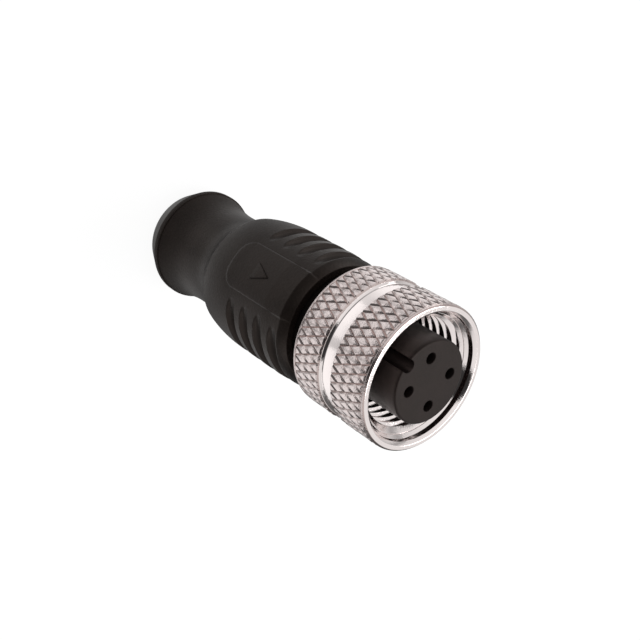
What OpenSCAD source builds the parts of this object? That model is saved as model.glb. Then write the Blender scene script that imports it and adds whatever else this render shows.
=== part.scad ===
// Straight M12 circular connector, female, A-coded, with a closed moulded grip body.
// The plug stands on its rear end: +Z runs along its axis to the mating face, and the
// key slot and the label pad face -Y.

/* [Coupling nut] */
// Length of the nut
nut_len = 10.1; // [9:0.1:14]
// Wall from the thread's nominal diameter to the knurl's peaks
nut_wall = 1.35; // [1.1:0.05:2]
// Height of the knurl's diamonds
knurl_h = 0.3; // [0.1:0.05:0.4]
// Diamonds around the nut
knurl_count = 50; // [30:1:60]
// Length of half a diamond along the axis
knurl_cell_len = 1.04; // [0.8:0.04:1.2]
// Half diamonds along the rear knurled band
knurl_rows = 3; // [2:1:3]
// Half diamonds along the front knurled band
front_rows = 4; // [2:1:4]
// Length of the smooth ring behind the rear band
rear_ring_len = 0.35; // [0.3:0.05:1]
// Length of the smooth rim in front of the front band
front_rim_len = 0.4; // [0.3:0.05:1]
// Chamfer on the nut's outer edges
nut_chamfer = 0.2; // [0.1:0.05:0.25]
// Depth of the plain groove below the knurl's roots
groove_depth = 0.22; // [0.1:0.02:0.4]
// Length of the sloping wall behind the plain groove
groove_wall_len = 0.5; // [0.2:0.05:0.8]
// Nominal diameter of the thread
thread_d = 12; // [11.5:0.5:13]
// Pitch of the thread
thread_pitch = 1; // [0.75:0.25:1.25]
// Width of the mouth's bore outside the thread's nominal diameter
mouth_flare = 0.35; // [0.2:0.05:0.6]
// Length of the mouth's bore in front of the thread
mouth_len = 0.8; // [0.3:0.1:1.2]
// Chamfer on the mouth's edge
mouth_chamfer = 0.25; // [0.1:0.05:0.4]
// Thickness of the inner flange that holds the nut on the plug
nut_flange_len = 1.8; // [1:0.1:2.5]
// Length of the relief groove at the thread's end
relief_len = 0.7; // [0.3:0.1:1]

/* [Contact carrier] */
// Room round the insert, inside the thread, for the mating sleeve
sleeve_space = 1.31; // [1.2:0.01:1.4]
// Length of the insert from its shoulder to the mating face
insert_len = 7.6; // [7:0.1:9]
// Radial gap between the shoulder and the thread
shoulder_gap = 0.36; // [0.25:0.01:0.5]
// Thickness of the shoulder that retains the nut
shoulder_len = 1.2; // [0.8:0.1:2]
// Height of the shoulder above the neck inside the nut's flange
shoulder_step = 0.8; // [0.6:0.05:1]
// Length of the tail that the inner core holds
tail_len = 8.8; // [7:0.1:10]
// Depth of the two retaining grooves round the tail
tail_groove = 0.4; // [0.2:0.05:0.5]
// Width of the key slot
key_w = 1.3; // [0.8:0.1:1.6]
// Depth of the key slot
key_depth = 1.0; // [0.8:0.1:1.2]
// Length of the key slot from the mating face
key_len = 6.3; // [4:0.1:6.5]
// Chamfer round the mating face
face_chamfer = 0.25; // [0.1:0.05:0.4]
// Diameter of the circle of contacts
contact_circle = 5; // [4.6:0.1:5.2]
// Diameter of the contact holes in the mating face
hole_d = 1.1; // [1:0.05:1.2]
// Thickness of the web in front of the contacts
front_web = 1.2; // [0.8:0.1:2]

/* [Contacts] */
// Diameter of the spring end
contact_d = 1.64; // [1.5:0.02:1.7]
// Bore for the mating pin
pin_bore = 1.05; // [1.02:0.01:1.1]
// Depth of the bore for the mating pin
pin_depth = 6.5; // [5:0.1:8]
// Length of the spring end
spring_len = 12; // [9:0.1:14]
// Length of the tapered nose
nose_len = 0.3; // [0.1:0.05:0.5]
// Depth of the tapered nose
nose_drop = 0.1; // [0.05:0.01:0.15]
// Width of the slots in the spring end
slot_w = 0.2; // [0.1:0.02:0.3]
// Length of the slots in the spring end
slot_len = 4.5; // [3:0.1:4.8]
// Diameter of the shank
shank_d = 1.2; // [1:0.05:1.4]
// Length of the thick end inside the carrier's tail
stop_len = 0.8; // [0.5:0.1:1.5]
// Length of the solder cup behind the carrier
cup_len = 2.6; // [2:0.1:3]
// Bore of the solder cup
cup_bore = 0.8; // [0.6:0.05:0.9]
// Depth of the solder cup
cup_depth = 1.6; // [1:0.1:2]

/* [Seal ring] */
// Thickness of the seal ring's cord
seal_cord = 1; // [0.8:0.05:1.1]

/* [Grip body] */
// Length of the grip body
grip_len = 27.45; // [26.5:0.05:30]
// Diameter of the flared rim
flare_d = 12.5; // [12:0.1:13]
// Height of the flared rim above the rear end
flare_at = 2.4; // [1.5:0.1:3]
// Width of the chamfer between the rear end and the rim
end_chamfer = 1.1; // [0.6:0.1:1.6]
// Height of the fine step in front of the rim
lip_len = 0.6; // [0.3:0.1:1]
// Depth of the fine step in front of the rim
lip_step = 0.1; // [0.05:0.01:0.2]
// Wall round the core at the waist
waist_wall = 1.65; // [1.4:0.05:1.9]
// Height of the waist
waist_at = 8.2; // [7:0.1:9]
// Depth of the shoulder's edge below the grip
brow_drop = 0.6; // [0.3:0.05:0.8]
// Height of the shoulder's edge
brow_at = 12.95; // [12:0.05:14]
// Height at which the grip reaches its full diameter
crest_at = 17.6; // [16.5:0.1:18]
// Wall round the core under the grip
grip_wall = 1.45; // [1.3:0.05:1.7]
// Length of the slightly tapered front part
taper_len = 2.6; // [2:0.1:3]
// Depth of the taper
taper_drop = 0.15; // [0.05:0.01:0.25]
// Length of the front chamfer
front_chamfer_len = 0.9; // [0.5:0.1:1.2]
// Depth of the front chamfer
front_chamfer_drop = 0.5; // [0.3:0.05:0.7]

/* [Grip grooves] */
// Grooves on each side
grip_grooves = 4; // [2:1:4]
// Distance from the grip's front edge to the first groove's middle
groove_land = 0.8; // [0.8:0.05:1]
// Distance from groove to groove
groove_pitch = 2.3; // [1.9:0.1:2.4]
// Radius of a groove's section
groove_r = 0.75; // [0.5:0.05:0.8]
// Depth of a groove
groove_cut = 0.6; // [0.3:0.05:0.6]
// Angle from the middle of the label pad to a groove's end
groove_end = 35; // [30:1:45]

/* [Label pad] */
// Length of the pad behind the grip's front edge
pad_len = 9.65; // [8.5:0.05:10]
// Width of the pad
pad_w = 5.1; // [4:0.1:5.6]
// Radius of the pad's rear corners
pad_corner = 1.5; // [0.8:0.1:1.8]
// Height of the pad above the grip
pad_h = 0.12; // [0.08:0.01:0.2]
// Length of the key mark on the pad
mark_len = 2.2; // [1.5:0.1:3]
// Width of the key mark on the pad
mark_w = 1.8; // [1:0.1:2.5]
// Height of the key mark above the pad
mark_h = 0.12; // [0.08:0.01:0.2]

/* [Inner core] */
// Wall round the carrier's tail, which sets the visible collar's diameter
core_wall = 1.3; // [1.1:0.05:1.5]
// Length of the collar between the grip body and the nut
collar_len = 1.9; // [1:0.1:2.5]
// Wall round the leads, which sets the diameter of the core's rear part
lead_wall = 0.95; // [0.8:0.05:1.1]
// Height at which the core's full diameter starts
core_from = 15.2; // [14.8:0.1:16]
// Length of the tapered part behind it
core_taper_len = 2.5; // [2:0.1:3]
// Thickness of the grip body's closed rear end behind the core
rear_wall = 4.6; // [4:0.1:5.5]

/* [Resistor] */
// Length of the resistor
resistor_len = 5.6; // [4.5:0.1:6]
// Diameter of the resistor's end caps
resistor_d = 2.2; // [1.8:0.1:2.4]
// Length of an end cap
resistor_cap_len = 1.2; // [0.8:0.1:1.5]
// Depth of the resistor's middle below its end caps
resistor_drop = 0.15; // [0.05:0.01:0.25]
// Distance from the core's rear end to the resistor
resistor_from = 3; // [2.2:0.1:3.4]
// Diameter of the leads
lead_d = 0.5; // [0.4:0.05:0.6]
// Straight run of a lead where it leaves the resistor's rear end
rear_lead_run = 1.2; // [0.8:0.1:1.8]
// Straight run of a lead where it leaves the resistor's front end
front_lead_run = 0.6; // [0.4:0.1:0.9]

/* [Clearances] */
// Radial play between the nut's flange and the neck
neck_play = 0.25; // [0.1:0.05:0.3]
// Play at each side of the nut's flange along the axis
end_play = 0.15; // [0.1:0.05:0.3]
// Gap between pieces that are fitted or moulded together
fit_gap = 0.02; // [0.01:0.01:0.04]
// Radial gap between a contact and its chamber
contact_gap = 0.04; // [0.02:0.01:0.06]
// Gap between a lead's end and the bottom of its cup
lead_gap = 0.2; // [0.1:0.05:0.4]

/* [Hidden] */
$fn = 64;

// How far a cutter runs past the face that it cuts
over = 1;
// How much wider a ball is than the wire or groove that it ends
hair = 0.03;
// Straight stretches that stand for each curve of the grip body's side
curve_steps = 9;
// Depth of a metric thread for a pitch of 1
thread_share = 0.5413;

// Radii, from the thread inwards and outwards
major_r = thread_d / 2;
minor_r = major_r - thread_share * thread_pitch;
peak_r = major_r + nut_wall;
root_r = peak_r - knurl_h;
insert_r = minor_r - sleeve_space;
shoulder_r = minor_r - shoulder_gap;
neck_r = shoulder_r - shoulder_step;
flange_bore_r = neck_r + neck_play;
core_r = neck_r + core_wall;
grip_r = core_r + grip_wall;
cup_ring_r = contact_circle / 2;
core_rear_r = cup_ring_r + lead_d / 2 + lead_wall;
waist_r = core_rear_r + waist_wall;
flare_r = flare_d / 2;

// Heights along the axis, from the rear end to the mating face
taper_z = grip_len - front_chamfer_len - taper_len;
grip_edge_z = grip_len - front_chamfer_len;
collar_z = grip_len + collar_len;
nut_z = collar_z + end_play;
shoulder_z = nut_z + nut_flange_len + end_play;
insert_z = shoulder_z + shoulder_len;
face_z = insert_z + insert_len;
tail_z = collar_z - tail_len;
contact_z = face_z - front_web - fit_gap;
cup_z = tail_z - cup_len;
resistor_z = rear_wall + resistor_from;

// A curve of radius against height, from one point to another, as [r, z] points.
// sag > 1 keeps it steady at its start, sag < 0 keeps it steady at its end.
function sweep(r0, z0, r1, z1, sag) = [
    for (i = [1 : curve_steps])
        let (t = i / curve_steps, u = sag > 0 ? pow(t, sag) : 1 - pow(1 - t, -sag))
        [r0 + (r1 - r0) * u, z0 + (z1 - z0) * t]
];

// The grip body's outline from its rear rim to its front face, moved outwards by out
function grip_side(out) =
    let (
        lip_z = flare_at + lip_len,
        lip_r = flare_r - lip_step,
        brow_r = grip_r - brow_drop,
        front_r = grip_r - taper_drop,
        side = concat(
            [[lip_r, lip_z]],
            sweep(lip_r, lip_z, waist_r, waist_at, -2),
            sweep(waist_r, waist_at, brow_r, brow_at, 3),
            sweep(brow_r, brow_at, grip_r, crest_at, -2),
            [[grip_r, taper_z], [front_r, grip_edge_z], [front_r - front_chamfer_drop, grip_len]]
        )
    )
    [for (p = side) [p[0] + out, p[1]]];

function polar(r, a, z) = [r * cos(a), r * sin(a), z];

module ring_of(points) rotate_extrude() polygon(points);

// Four contacts stand at 45 degrees to the key slot
module at_contact(i) rotate(-45 + 90 * (i - 1)) translate([cup_ring_r, 0, 0]) children();

// A wire of round section through points [u, z] in the plane of contacts 1 and 3
module wire(path, d) {
    rotate(-45)
    for (i = [0 : len(path) - 2]) {
        step = path[i + 1] - path[i];
        translate([path[i][0], 0, path[i][1]]) {
            rotate([0, atan2(step[0], step[1]), 0]) cylinder(d = d, h = norm(step));
            if (i > 0) sphere(d = d + hair);
        }
    }
}

// A knurled band as one ring of diamonds. Roots and peaks alternate round each row and
// from row to row, and each cell is split along its root line.
module knurl_band(z0, rows, inner_r) {
    n = 2 * knurl_count;
    function at(j, i) = j * n + i % n;
    function foot(i) = (rows + 1) * n + i % n;
    function head(i) = foot(i) + n;
    outer = [
        for (j = [0 : rows], i = [0 : n - 1])
            polar(root_r + ((i + j) % 2) * knurl_h, 360 * i / n, z0 + j * knurl_cell_len)
    ];
    inner = [
        for (z = [z0, z0 + rows * knurl_cell_len], i = [0 : n - 1])
            polar(inner_r, 360 * i / n, z)
    ];
    cells = [
        for (j = [0 : rows - 1], i = [0 : n - 1], half = [0, 1])
            let (a = at(j, i), b = at(j, i + 1), c = at(j + 1, i + 1), d = at(j + 1, i))
            (i + j) % 2 == 0 ? (half == 0 ? [a, c, b] : [a, d, c])
                             : (half == 0 ? [a, d, b] : [b, d, c])
    ];
    rims = [
        for (i = [0 : n - 1], side = [0 : 2])
            side == 0 ? [at(0, i), at(0, i + 1), foot(i + 1), foot(i)]
            : side == 1 ? [at(rows, i), head(i), head(i + 1), at(rows, i + 1)]
            : [foot(i), foot(i + 1), head(i + 1), head(i)]
    ];
    polyhedron(points = concat(outer, inner), faces = concat(cells, rims), convexity = 4);
}

// Union nut: inner flange, threaded bore with relief and chamfered mouth, two knurled
// bands with a plain groove between them. The turned core lies just under the knurl's
// roots, and each band is sunk into it.
module coupling_nut() {
    under_knurl = 0.06;
    band_root = 0.3;
    core = root_r - under_knurl;
    ring = root_r + knurl_h / 2;
    floor = root_r - groove_depth;
    band_1 = rear_ring_len;
    wall_1 = band_1 + knurl_rows * knurl_cell_len;
    rim = nut_len - front_rim_len;
    band_2 = rim - front_rows * knurl_cell_len;
    mouth_r = major_r + mouth_flare;
    lead_in = nut_len - mouth_len;
    thread_end = nut_flange_len + relief_len;
    color([0.78, 0.76, 0.75])
    translate([0, 0, nut_z])
    union() {
        ring_of([
            [flange_bore_r + nut_chamfer, 0], [ring - nut_chamfer, 0], [ring, nut_chamfer],
            [ring, band_1], [core, band_1], [core, wall_1],
            [floor, wall_1 + groove_wall_len], [floor, band_2], [core, band_2], [core, rim],
            [ring, rim], [ring, nut_len - nut_chamfer], [ring - nut_chamfer, nut_len],
            [mouth_r + mouth_chamfer, nut_len], [mouth_r, nut_len - mouth_chamfer],
            [mouth_r, lead_in], [minor_r, lead_in - (mouth_r - minor_r)],
            [minor_r, thread_end + major_r - minor_r], [major_r, thread_end],
            [major_r, nut_flange_len], [flange_bore_r, nut_flange_len],
            [flange_bore_r, nut_chamfer]
        ]);
        knurl_band(band_1, knurl_rows, core - band_root);
        knurl_band(band_2, front_rows, core - band_root);
    }
}

// The tail's outline with its two retaining grooves, grown by gap for the cavity that
// holds it
function tail_side(gap) =
    let (
        unit = tail_len / 8,
        out = neck_r + gap,
        in = out - tail_groove
    )
    [
        [0, tail_z - gap], [out, tail_z - gap],
        for (from = [2, 5]) each [
            [out, tail_z + from * unit + gap], [in, tail_z + from * unit + gap],
            [in, tail_z + (from + 1) * unit - gap], [out, tail_z + (from + 1) * unit - gap]
        ]
    ];

// Insulating carrier: insert with the key slot, shoulder, neck and grooved tail
module contact_carrier() {
    key_r = insert_r - key_depth + key_w / 2;
    color([0.2, 0.19, 0.19])
    difference() {
        ring_of(concat(tail_side(0), [
            [neck_r, shoulder_z], [shoulder_r, shoulder_z], [shoulder_r, insert_z],
            [insert_r, insert_z], [insert_r, face_z - face_chamfer],
            [insert_r - face_chamfer, face_z], [0, face_z]
        ]));
        translate([0, -key_r, face_z - key_len]) cylinder(d = key_w, h = key_len + over);
        translate([-key_w / 2, -insert_r - over, face_z - key_len])
            cube([key_w, insert_r + over - key_r, key_len + over]);
        for (i = [1 : 4]) at_contact(i) translate([0, 0, tail_z]) {
            translate([0, 0, -over])
                cylinder(r = contact_d / 2 + contact_gap, h = face_z - front_web - tail_z + over);
            cylinder(d = hole_d, h = face_z - tail_z + over);
        }
    }
}

// Turned socket contact: slotted spring end, shank, stop and solder cup
module socket_contact(i) {
    spring_z = contact_z - spring_len;
    contact_r = contact_d / 2;
    color([0.83, 0.68, 0.35])
    at_contact(i)
    difference() {
        ring_of([
            [0, cup_z], [contact_r, cup_z], [contact_r, tail_z + stop_len],
            [shank_d / 2, tail_z + stop_len], [shank_d / 2, spring_z],
            [contact_r, spring_z], [contact_r, contact_z - nose_len],
            [contact_r - nose_drop, contact_z], [0, contact_z]
        ]);
        translate([0, 0, contact_z - pin_depth]) cylinder(d = pin_bore, h = pin_depth + over);
        translate([0, 0, cup_z - over]) cylinder(d = cup_bore, h = cup_depth + over);
        for (a = [0, 90]) rotate(a)
            translate([-contact_d, -slot_w / 2, contact_z - slot_len])
                cube([2 * contact_d, slot_w, slot_len + over]);
    }
}

// Face seal round the foot of the insert
module seal_ring() {
    seal_r = seal_cord / 2;
    color([0.1, 0.1, 0.1])
    translate([0, 0, insert_z + seal_r])
    rotate_extrude() translate([insert_r + fit_gap + seal_r, 0]) circle(r = seal_r);
}

// The inner moulding's outline, grown by gap for the cavity that holds it
function core_side(gap) = [
    [0, rear_wall - gap], [core_rear_r + gap, rear_wall - gap],
    [core_rear_r + gap, core_from - core_taper_len], [core_r + gap, core_from],
    [core_r + gap, collar_z + gap], [0, collar_z + gap]
];

// The resistor's outline, grown by gap for the cavity that holds it
function resistor_side(gap) =
    let (
        cap_r = resistor_d / 2 + gap,
        mid_r = cap_r - resistor_drop,
        cap_z = resistor_z + resistor_cap_len + gap,
        top_z = resistor_z + resistor_len
    )
    [
        [0, resistor_z - gap], [cap_r, resistor_z - gap], [cap_r, cap_z],
        [mid_r, cap_z + resistor_drop],
        [mid_r, top_z - resistor_cap_len - resistor_drop - gap],
        [cap_r, top_z - resistor_cap_len - gap], [cap_r, top_z + gap], [0, top_z + gap]
    ];

// The leads run from the resistor's ends into the cups of contacts 1 and 3
lead_stop = cup_z + cup_depth - lead_gap;
front_lead_path = [
    [0, resistor_z + resistor_len], [0, resistor_z + resistor_len + front_lead_run],
    [cup_ring_r, cup_z - front_lead_run], [cup_ring_r, lead_stop]
];
rear_lead_path = [
    [0, resistor_z], [0, resistor_z - rear_lead_run],
    [-cup_ring_r, resistor_z - rear_lead_run], [-cup_ring_r, lead_stop]
];

module resistor_body() color([0.35, 0.55, 0.72]) ring_of(resistor_side(0));

module resistor_lead_front() color([0.8, 0.8, 0.82]) wire(front_lead_path, lead_d);

module resistor_lead_rear() color([0.8, 0.8, 0.82]) wire(rear_lead_path, lead_d);

// First moulding: grips the carrier's tail, the solder cups and the resistor, and ends in
// the collar behind the nut
module inner_core() {
    color([0.09, 0.09, 0.09])
    difference() {
        ring_of(core_side(0));
        ring_of(concat(tail_side(fit_gap), [
            [neck_r + fit_gap, collar_z + over], [0, collar_z + over]
        ]));
        for (i = [1 : 4]) at_contact(i)
            translate([0, 0, cup_z - fit_gap])
                cylinder(r = contact_d / 2 + fit_gap, h = cup_len);
        ring_of(resistor_side(fit_gap));
        wire(front_lead_path, lead_d + 2 * fit_gap);
        wire(rear_lead_path, lead_d + 2 * fit_gap);
    }
}

// The label pad's outline, square at its front and with rounded rear corners, as a block
// that reaches from under the grip's skin past the pad's face
module pad_block() {
    under = 2;
    half_w = pad_w / 2;
    pad_z = grip_edge_z - pad_len;
    corner_z = pad_z + pad_corner;
    translate([0, under - grip_r, 0])
    rotate([90, 0, 0])
    linear_extrude(under + over) {
        translate([-half_w, corner_z]) square([pad_w, pad_len - pad_corner]);
        translate([pad_corner - half_w, pad_z]) square([pad_w - 2 * pad_corner, 2 * pad_corner]);
        for (s = [-1, 1]) translate([s * (half_w - pad_corner), corner_z]) circle(r = pad_corner);
    }
}

// A raised arrowhead on the pad, in line with the key slot
module key_mark() {
    under = 0.5;
    translate([0, under - grip_r - pad_h, grip_edge_z - (pad_len + mark_len) / 2])
    rotate([90, 0, 0])
    linear_extrude(under + mark_h) polygon([[-mark_w / 2, 0], [mark_w / 2, 0], [0, mark_len]]);
}

// One groove: an arc of round section round the side of the grip, with ball ends
module grip_groove() {
    arc = 180 - 2 * groove_end;
    ring_r = grip_r + groove_r - groove_cut;
    rotate(-arc / 2) {
        rotate_extrude(angle = arc) translate([ring_r, 0]) circle(r = groove_r);
        for (a = [0, arc]) rotate(a) translate([ring_r, 0, 0]) sphere(r = groove_r + hair);
    }
}

// Outer moulding: flared closed end, waist, domed shoulder, grooved grip and label pad
module grip_body() {
    color([0.17, 0.16, 0.155])
    difference() {
        union() {
            ring_of(concat(
                [[0, 0], [flare_r - end_chamfer, 0], [flare_r, flare_at],
                 [flare_r, flare_at + lip_len]],
                grip_side(0), [[0, grip_len]]
            ));
            intersection() {
                ring_of(concat([[0, flare_at + lip_len]], grip_side(pad_h), [[0, grip_len]]));
                pad_block();
            }
            key_mark();
        }
        for (i = [0 : grip_grooves - 1], side = [0, 180])
            translate([0, 0, grip_edge_z - groove_land - i * groove_pitch])
                rotate(side) grip_groove();
        ring_of(core_side(fit_gap));
    }
}

grip_body();
inner_core();
contact_carrier();
socket_contact(1);  // socket_contact_1
socket_contact(2);  // socket_contact_2
socket_contact(3);  // socket_contact_3
socket_contact(4);  // socket_contact_4
seal_ring();
coupling_nut();
resistor_body();
resistor_lead_front();
resistor_lead_rear();
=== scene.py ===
"""Looks of a straight M12 circular connector with a closed moulded grip body.

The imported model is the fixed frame: +Z runs along the plug's axis from its rear end to the mating face, and
the key slot and the label pad face -Y. Each class models its sub-assembly in millimetres and hands its mesh
over in metres.
"""

import logging
import math
import random
from dataclasses import dataclass
from enum import Enum
from typing import Iterable, Sequence

import bmesh
import bpy
from mathutils import Matrix, Vector

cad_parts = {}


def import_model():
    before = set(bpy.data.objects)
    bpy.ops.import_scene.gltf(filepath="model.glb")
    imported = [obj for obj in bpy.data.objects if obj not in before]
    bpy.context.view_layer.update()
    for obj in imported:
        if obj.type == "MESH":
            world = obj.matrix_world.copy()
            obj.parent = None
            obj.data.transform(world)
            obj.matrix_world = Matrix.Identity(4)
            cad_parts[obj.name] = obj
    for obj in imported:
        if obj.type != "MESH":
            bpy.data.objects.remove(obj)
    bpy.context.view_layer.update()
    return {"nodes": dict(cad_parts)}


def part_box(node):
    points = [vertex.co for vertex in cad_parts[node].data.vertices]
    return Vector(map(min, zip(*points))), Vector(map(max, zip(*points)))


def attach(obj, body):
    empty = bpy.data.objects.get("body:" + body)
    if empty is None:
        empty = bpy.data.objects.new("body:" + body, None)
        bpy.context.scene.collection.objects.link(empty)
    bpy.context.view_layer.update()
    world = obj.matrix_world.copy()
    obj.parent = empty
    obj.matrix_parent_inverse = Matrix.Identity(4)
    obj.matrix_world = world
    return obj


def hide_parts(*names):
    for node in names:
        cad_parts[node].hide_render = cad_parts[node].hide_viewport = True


LOG = logging.getLogger("connector")
MM = 0.001
SHARP_DEG = 35.0  # an edge that bends more than this stays sharp
LEVEL = 0.9995  # a face is level when its unit normal goes further than this along the axis
THREAD_DEPTH = 0.5413  # depth of a metric inner thread, in pitches
THREAD_FLANK_DEG = 30.0  # slope of its flanks
Point = tuple[float, float]


class Body(Enum):
    """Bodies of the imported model."""

    PLUG = "plug"
    NUT = "nut"


class Slot(Enum):
    """Kinds of finish, which key the built materials."""

    GRIP = "grip_tpu"
    CORE = "core_plastic"
    CARRIER = "carrier_plastic"
    CONTACT = "contact_gold"
    NUT = "nut_nickel"
    LEAD = "lead_tin"
    SEAL = "seal_rubber"
    RESISTOR = "resistor_lacquer"


# ---------------------------------------------------------------------------------------------- shader tree


class Wire:
    """An output socket of a shader tree. Arithmetic on it adds Math nodes."""

    def __init__(self, shader: "Shader", socket: bpy.types.NodeSocket) -> None:
        """Keep the socket.

        Args:
            shader: The tree that the socket belongs to.
            socket: The output socket.
        """
        self.shader = shader
        self.socket = socket

    def _math(self, operation: str, *terms: "float | Wire") -> "Wire":
        """Return the result of a Math node on the terms."""
        return self.shader.node("ShaderNodeMath", {"operation": operation}, dict(enumerate(terms)))

    def __add__(self, other: "float | Wire") -> "Wire":
        """Return self + other."""
        return self._math("ADD", self, other)

    def __radd__(self, other: "float | Wire") -> "Wire":
        """Return other + self."""
        return self._math("ADD", other, self)

    def __sub__(self, other: "float | Wire") -> "Wire":
        """Return self - other."""
        return self._math("SUBTRACT", self, other)

    def __rsub__(self, other: "float | Wire") -> "Wire":
        """Return other - self."""
        return self._math("SUBTRACT", other, self)

    def __mul__(self, other: "float | Wire") -> "Wire":
        """Return self * other."""
        return self._math("MULTIPLY", self, other)

    def __rmul__(self, other: "float | Wire") -> "Wire":
        """Return other * self."""
        return self._math("MULTIPLY", other, self)


class Shader:
    """A node tree that is built from expressions."""

    def __init__(
        self, owner: bpy.types.Material | bpy.types.World, output: str = "ShaderNodeOutputMaterial",
    ) -> None:
        """Clear the owner's tree.

        Args:
            owner: The material or world.
            output: The type of its output node.
        """
        self.owner = owner
        owner.use_nodes = True
        self.tree = owner.node_tree
        self.tree.nodes.clear()
        self.output = self.tree.nodes.new(output)

    def node(self, kind: str, settings: dict, inputs: dict, output: int | str = 0) -> Wire:
        """Add any node.

        Args:
            kind: The node's type.
            settings: The node's own properties, set first; "stops" are a ramp's (place, colour) pairs.
            inputs: Values or wires by input name or number.
            output: The output to return.

        Returns:
            The chosen output.
        """
        made = self.tree.nodes.new(kind)
        for key, value in settings.items():
            if key == "stops":
                self._set_stops(made.color_ramp, value)
            else:
                setattr(made, key, value)
        for key, value in inputs.items():
            if isinstance(value, Wire):
                self.tree.links.new(value.socket, made.inputs[key])
            else:
                made.inputs[key].default_value = value
        return Wire(self, made.outputs[output])

    @staticmethod
    def _set_stops(ramp: bpy.types.ColorRamp, stops: Sequence[tuple[float, tuple]]) -> None:
        """Give a colour ramp its stops.

        Args:
            ramp: The colour ramp.
            stops: Its (place, colour) pairs, in rising order.
        """
        while len(ramp.elements) < len(stops):
            ramp.elements.new(1.0)
        for element, (place, colour) in zip(ramp.elements, stops):
            element.position = place
            element.color = colour

    def place(self) -> Wire:
        """Return the object's own coordinates."""
        return self.node("ShaderNodeTexCoord", {}, {}, "Object")

    def height(self) -> Wire:
        """Return the height along the plug's axis, in metres."""
        return self.node("ShaderNodeSeparateXYZ", {}, {0: self.place()}, "Z")

    def radius(self) -> Wire:
        """Return the distance from the plug's axis, in metres."""
        flat = self.node("ShaderNodeVectorMath", {"operation": "MULTIPLY"}, {0: self.place(), 1: (1, 1, 0)})
        return self.node("ShaderNodeVectorMath", {"operation": "LENGTH"}, {0: flat}, "Value")

    def noise(self, grain_mm: float, detail: float = 2.0, rough: float = 0.5) -> Wire:
        """Return noise whose features are about grain_mm across."""
        inputs = {"Vector": self.place(), "Scale": 1 / (grain_mm * MM), "Detail": detail, "Roughness": rough}
        return self.node("ShaderNodeTexNoise", {}, inputs)

    def ramp(self, wire: Wire, low: float, high: float, start: float = 0.0, end: float = 1.0) -> Wire:
        """Return the wire's range low to high, mapped smoothly to start to end."""
        inputs = {"Value": wire, "From Min": low, "From Max": high, "To Min": start, "To Max": end}
        return self.node("ShaderNodeMapRange", {"interpolation_type": "SMOOTHSTEP"}, inputs)

    def blend(self, share: Wire, first: tuple | Wire, second: tuple | Wire) -> Wire:
        """Return a colour between first and second."""
        settings = {"data_type": "RGBA"}
        return self.node("ShaderNodeMix", settings, {0: share, 6: first, 7: second}, 2)

    def bump(self, height: Wire, depth_mm: float, under: Wire | None = None) -> Wire:
        """Bend the surface's normal.

        Args:
            height: The relief.
            depth_mm: How much the surface rises where the relief goes from 0 to 1.
            under: The normal of a bump below this one.

        Returns:
            The bent normal.
        """
        inputs = {"Height": height, "Distance": depth_mm * MM}
        if under is not None:
            inputs["Normal"] = under
        return self.node("ShaderNodeBump", {}, inputs)

    def surface(self, **sockets: float | tuple | Wire) -> bpy.types.Material:
        """Close the tree with a Principled surface.

        Args:
            **sockets: Socket values or wires, with underscores for the spaces in their names.

        Returns:
            The material.
        """
        named = {key.replace("_", " "): value for key, value in sockets.items()}
        return self.close(self.node("ShaderNodeBsdfPrincipled", {}, named))

    def close(self, shell: Wire) -> bpy.types.Material | bpy.types.World:
        """Join a shader to the output and return the tree's owner."""
        self.tree.links.new(shell.socket, self.output.inputs["Surface"])
        return self.owner


def srgb(red: int, green: int, blue: int) -> tuple[float, float, float, float]:
    """Turn a screen colour into a linear colour.

    Args:
        red: Red level, 0 to 255.
        green: Green level, 0 to 255.
        blue: Blue level, 0 to 255.

    Returns:
        Linear red, green and blue, and full alpha.
    """

    def linear(value: int) -> float:
        """Return one level as a linear share."""
        share = value / 255
        return share / 12.92 if share <= 0.04045 else ((share + 0.055) / 1.055) ** 2.4

    return (linear(red), linear(green), linear(blue), 1.0)


# ------------------------------------------------------------------------------------------------- finishes


@dataclass(frozen=True)
class CoarseZone:
    """Stretch of the axis where a moulding is duller, all over or only in its recesses. Millimetres."""

    heights: tuple[float, float, float, float]
    extra: float
    recess: Point | None = None

    def build(self, sh: Shader) -> Wire:
        """Return the roughness to add.

        Args:
            sh: The tree of the moulding's material.

        Returns:
            The extra roughness, which starts, is full, and fades out again at the four heights.
        """
        start, full, fade, end = (height * MM for height in self.heights)
        up = sh.height()
        share = sh.ramp(up, start, full) * sh.ramp(up, fade, end, self.extra, 0.0)
        if self.recess is None:
            return share
        floor_r, skin_r = (radius * MM for radius in self.recess)
        return share * sh.ramp(sh.radius(), floor_r, skin_r, 1.0, 0.0)


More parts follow.
